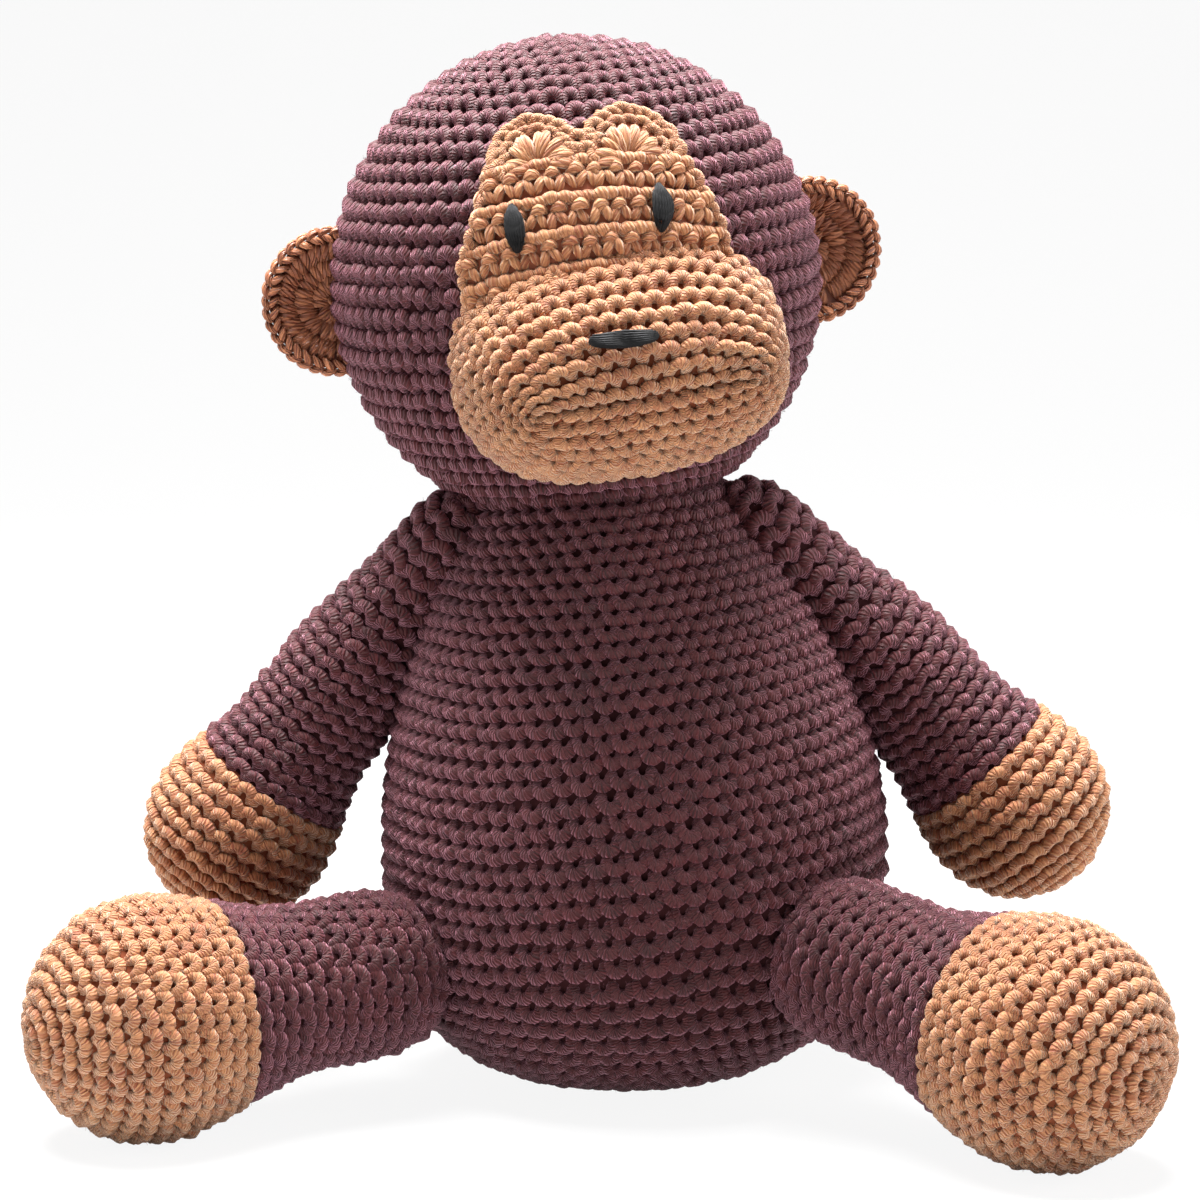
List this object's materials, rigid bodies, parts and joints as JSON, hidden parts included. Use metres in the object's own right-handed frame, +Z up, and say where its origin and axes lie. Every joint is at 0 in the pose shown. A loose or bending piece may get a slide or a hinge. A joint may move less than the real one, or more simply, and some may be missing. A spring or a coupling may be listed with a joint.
{
  "type": "plush monkey",
  "caption": "Hand crocheted, stuffed toy monkey sitting with spread legs; sewn-on head, arms, legs and ears give at their seams and spring back.",
  "frame": {"origin": "centre of the flat seat under the body, on the surface that the toy sits on", "axes": "+Z up, the face looks towards -Y, +X is the toy's left"},
  "size_m": [0.2651, 0.1785, 0.2595],
  "materials": {
    "brown_yarn": "plum-brown cotton yarn in single crochet, matt",
    "tan_yarn": "tan cotton yarn in single crochet, matt",
    "ear_yarn": "tan mercerised yarn, slightly glossy",
    "black_thread": "black embroidery thread in satin stitch",
    "fibre_filling": "loose white polyester fibre"
  },
  "bodies": {
    "torso": {"body_cover": "brown_yarn", "body_filling": "fibre_filling"},
    "neck": {"neck_seam": "brown_yarn"},
    "head": {"head_cover": "brown_yarn", "head_filling": "fibre_filling", "muzzle_cover": "tan_yarn", "muzzle_filling": "fibre_filling", "muzzle_seam": "tan_yarn", "face_patch": "tan_yarn", "face_patch_seam": "tan_yarn", "right_eye": "black_thread", "left_eye": "black_thread", "nose": "black_thread", "right_ear_seam": "ear_yarn", "left_ear_seam": "ear_yarn"},
    "right_ear": {"right_ear": "ear_yarn"},
    "left_ear": {"left_ear": "ear_yarn"},
    "right_shoulder": {"right_shoulder_seam": "brown_yarn"},
    "right_arm": {"right_arm_cover": "brown_yarn", "right_hand_cover": "tan_yarn", "right_arm_filling": "fibre_filling"},
    "left_shoulder": {"left_shoulder_seam": "brown_yarn"},
    "left_arm": {"left_arm_cover": "brown_yarn", "left_hand_cover": "tan_yarn", "left_arm_filling": "fibre_filling"},
    "right_hip": {"right_hip_seam": "brown_yarn"},
    "right_leg": {"right_leg_cover": "brown_yarn", "right_foot_cover": "tan_yarn", "right_leg_filling": "fibre_filling"},
    "left_hip": {"left_hip_seam": "brown_yarn"},
    "left_leg": {"left_leg_cover": "brown_yarn", "left_foot_cover": "tan_yarn", "left_leg_filling": "fibre_filling"}
  },
  "joints": [
    {"name": "neck_turn", "type": "hinge", "parent": "torso", "child": "neck", "pos_m": [-0.012, 0, 0.19945], "axis": [0, 0, 1], "range_deg": [-30, 30], "stiffness_Nm_per_rad": 0.3, "deforming": ["neck_seam"]},
    {"name": "neck_nod", "type": "hinge", "parent": "neck", "child": "head", "pos_m": [-0.012, 0, 0.19945], "axis": [1, 0, 0], "range_deg": [-15, 4], "stiffness_Nm_per_rad": 0.4, "deforming": ["neck_seam"]},
    {"name": "right_ear_fold", "type": "hinge", "parent": "head", "child": "right_ear", "pos_m": [-0.07176, -0.00863, 0.19568], "axis": [-0.0921, -0.0863, 0.992], "range_deg": [-25, 25], "stiffness_Nm_per_rad": 0.004},
    {"name": "left_ear_fold", "type": "hinge", "parent": "head", "child": "left_ear", "pos_m": [0.0473, 0.0082, 0.20819], "axis": [0.0921, 0.0863, -0.992], "range_deg": [-25, 25], "stiffness_Nm_per_rad": 0.004},
    {"name": "right_arm_raise", "type": "hinge", "parent": "torso", "child": "right_shoulder", "pos_m": [-0.05009, 0.003, 0.1286], "axis": [0, 1, 0], "range_deg": [0, 50], "stiffness_Nm_per_rad": 0.06, "deforming": ["right_shoulder_seam"]},
    {"name": "right_arm_swing", "type": "hinge", "parent": "right_shoulder", "child": "right_arm", "pos_m": [-0.05009, 0.003, 0.1286], "axis": [-0.9307, 0, 0.3657], "range_deg": [-30, 14], "stiffness_Nm_per_rad": 0.06, "deforming": ["right_shoulder_seam"]},
    {"name": "left_arm_raise", "type": "hinge", "parent": "torso", "child": "left_shoulder", "pos_m": [0.04509, 0.003, 0.12918], "axis": [0, -1, 0], "range_deg": [0, 50], "stiffness_Nm_per_rad": 0.06, "deforming": ["left_shoulder_seam"]},
    {"name": "left_arm_swing", "type": "hinge", "parent": "left_shoulder", "child": "left_arm", "pos_m": [0.04509, 0.003, 0.12918], "axis": [-0.8291, 0, -0.5592], "range_deg": [-30, 14], "stiffness_Nm_per_rad": 0.06, "deforming": ["left_shoulder_seam"]},
    {"name": "right_leg_spread", "type": "hinge", "parent": "torso", "child": "right_hip", "pos_m": [-0.06179, -0.03527, 0.0325], "axis": [0, 0, -1], "range_deg": [-20, 8], "stiffness_Nm_per_rad": 0.1, "deforming": ["right_hip_seam"]},
    {"name": "right_leg_lift", "type": "hinge", "parent": "right_hip", "child": "right_leg", "pos_m": [-0.06179, -0.03527, 0.0325], "axis": [-0.4818, 0.8763, 0], "range_deg": [-15, 20], "stiffness_Nm_per_rad": 0.1, "deforming": ["right_hip_seam"]},
    {"name": "left_leg_spread", "type": "hinge", "parent": "torso", "child": "left_hip", "pos_m": [0.05419, -0.0478, 0.038], "axis": [0, 0, 1], "range_deg": [-20, 8], "stiffness_Nm_per_rad": 0.1, "deforming": ["left_hip_seam"]},
    {"name": "left_leg_lift", "type": "hinge", "parent": "left_hip", "child": "left_leg", "pos_m": [0.05419, -0.0478, 0.038], "axis": [-0.6794, -0.7337, 0], "range_deg": [-15, 20], "stiffness_Nm_per_rad": 0.1, "deforming": ["left_hip_seam"]}
  ]
}
